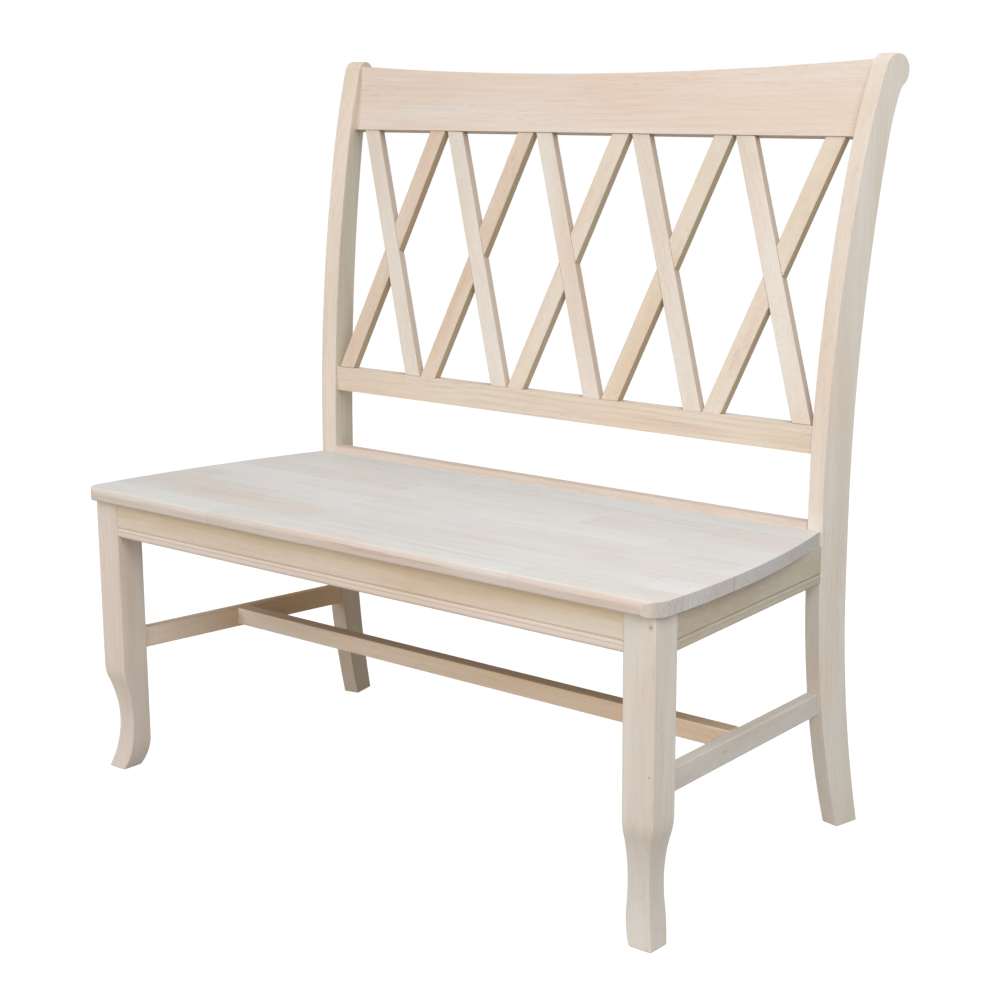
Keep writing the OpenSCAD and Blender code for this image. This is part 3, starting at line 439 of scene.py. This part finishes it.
for i in range(1, 6):
    LOOKS["x%d_slat_falling" % i] = dict(tones=SLAT, faces=dict(side=SLAT_SIDE_SHADE, under=UNDERSIDE_SHADE), turn=FALLING,
                                         seed=31.0 + 1.9 * i)
    LOOKS["x%d_slat_rising" % i] = dict(tones=SLAT_TAN if i < 3 else SLAT_WARM, faces=dict(under=UNDERSIDE_SHADE),
                                        turn=RISING, seed=47.0 + 2.3 * i)
for i, corner in enumerate(("front_left", "front_right", "rear_left", "rear_right")):
    LOOKS["corner_block_" + corner] = dict(tones=BLOCK, turn=CORNERWISE, seed=61.0 + i)

# The glue line that shows on the seat's right end, with its painted highlight on the top, lies behind the
# third board
seam_y = max(v.co.y for v in nodes["seat_board_3"].data.vertices)
for name in ("seat_board_3", "seat_board_4"):
    LOOKS[name]["seam"] = seam_y

# Thin streaks along the seat's rounded front edge: from X, to X, height
LOOKS["seat_board_1"]["streaks"] = ((-0.03, 0.12, 0.4508), (0.01, 0.22, 0.4490), (0.02, 0.14, 0.4470))

# How far the arrises are eased, by the start of a piece's name
EASING = {"seat": 0.0005, "crest": 0.0022, "front_leg": 0.0022, "rear_post": 0.0024,
          "lower": 0.0016, "front_apron": 0.0008, "side_apron": 0.0008, "rear_apron": 0.0016,
          "side_str": 0.0006, "centre": 0.0006, "x": 0.0018, "corner": 0.0006, "block": 0.0003}


def smooth_group():
    """Geometry nodes that shade every face smooth."""
    tree = bpy.data.node_groups.new("shade_smooth", "GeometryNodeTree")
    tree.interface.new_socket("Geometry", in_out="INPUT", socket_type="NodeSocketGeometry")
    tree.interface.new_socket("Geometry", in_out="OUTPUT", socket_type="NodeSocketGeometry")
    given = tree.nodes.new("NodeGroupInput")
    result = tree.nodes.new("NodeGroupOutput")
    smooth = tree.nodes.new("GeometryNodeSetShadeSmooth")
    smooth.inputs["Shade Smooth"].default_value = True
    tree.links.new(given.outputs[0], smooth.inputs[0])
    tree.links.new(smooth.outputs[0], result.inputs[0])
    return tree


SMOOTH = smooth_group()


def ease_edges(obj, width):
    """Eases the arrises of a CAD piece, as sanding does."""
    weld = obj.modifiers.new("weld", "WELD")
    weld.merge_threshold = 0.00002
    flat = obj.modifiers.new("flat", "DECIMATE")
    flat.decimate_type = "DISSOLVE"
    flat.angle_limit = math.radians(0.3)
    bevel = obj.modifiers.new("bevel", "BEVEL")
    bevel.width = width
    bevel.segments = 3
    bevel.limit_method = "ANGLE"
    bevel.angle_limit = math.radians(28)
    bevel.use_clamp_overlap = True
    smooth = obj.modifiers.new("smooth", "NODES")
    smooth.node_group = SMOOTH
    weight = obj.modifiers.new("weight", "WEIGHTED_NORMAL")
    weight.mode = "FACE_AREA"
    weight.weight = 80
    weight.keep_sharp = False


for name, obj in nodes.items():
    if name in LOOKS:
        mat = wood("wood_" + name, **LOOKS[name])
    else:
        mat = steel("steel_" + name)
    obj.data.materials.clear()
    obj.data.materials.append(mat)
    for start, width in EASING.items():
        if name.startswith(start):
            ease_edges(obj, width)

# Floor and world
WHITE = (1, 1, 1, 1)
FLOOR_TONE = (0.33, 0.31, 0.285, 1)
FLOOR_GLOW = 0.88
SKY_TONE = (0.97, 0.98, 1.0, 1)
SKY_LIGHT = 0.45


def seen_by(g, *rays):
    """1 for rays of these kinds, 0 for others."""
    path = g.node("ShaderNodeLightPath")
    seen = path.outputs[rays[0]]
    for ray in rays[1:]:
        seen = g.math("MAXIMUM", seen, path.outputs[ray])
    return seen


def floor_material():
    """Takes shadows, and glows white to the camera and in mirrors only."""
    mat = new_material("floor")
    g = Graph(mat.node_tree)
    seen = seen_by(g, "Is Camera Ray", "Is Glossy Ray", "Is Transmission Ray")
    diffuse = g.node("ShaderNodeBsdfDiffuse", {0: FLOOR_TONE})
    glow = g.node("ShaderNodeEmission", {0: WHITE, 1: g.times(seen, FLOOR_GLOW)})
    both = g.node("ShaderNodeAddShader", {0: diffuse.outputs[0], 1: glow.outputs[0]})
    g.node("ShaderNodeOutputMaterial", {0: both.outputs[0]})
    return mat


def make_world():
    """Soft daylight, and white where the camera looks past the floor."""
    world = bpy.data.worlds.new("world")
    world.use_nodes = True
    g = Graph(world.node_tree)
    seen = seen_by(g, "Is Camera Ray", "Is Transmission Ray")
    lit = g.node("ShaderNodeBackground", {0: SKY_TONE, 1: SKY_LIGHT})
    shown = g.node("ShaderNodeBackground", {0: WHITE, 1: 1.0})
    either = g.node("ShaderNodeMixShader", {0: seen, 1: lit.outputs[0], 2: shown.outputs[0]})
    g.node("ShaderNodeOutputWorld", {0: either.outputs[0]})
    scene.world = world


bpy.ops.mesh.primitive_plane_add(size=40.0, location=(0, 0, 0))
floor = bpy.context.object
floor.name = "floor"
floor.data.materials.append(floor_material())
make_world()


def lamp(name, place, aim, size, watts, colour):
    """A square studio lamp."""
    data = bpy.data.lights.new(name, "AREA")
    data.shape = "SQUARE"
    data.size = size
    data.energy = watts
    data.color = colour
    obj = bpy.data.objects.new(name, data)
    scene.collection.objects.link(obj)
    obj.location = place
    obj.rotation_euler = (Vector(aim) - Vector(place)).to_track_quat("-Z", "Y").to_euler()


lamp("key", (-2.2, -3.1, 2.1), (0, 0, 0.5), 2.2, 50.0, (1.0, 0.985, 0.965))
lamp("top", (0.5, 0.1, 3.4), (0.1, -0.1, 0.4), 2.4, 25.0, (0.98, 0.99, 1.0))
lamp("side", (1.9, -1.2, 1.9), (0.3, -0.1, 0.5), 1.4, 28.0, (0.90, 0.96, 1.0))
lamp("low", (1.2, -3.0, 0.5), (0.0, -0.2, 0.25), 1.2, 15.0, (1.0, 0.985, 0.96))

scene.view_settings.view_transform = "Standard"
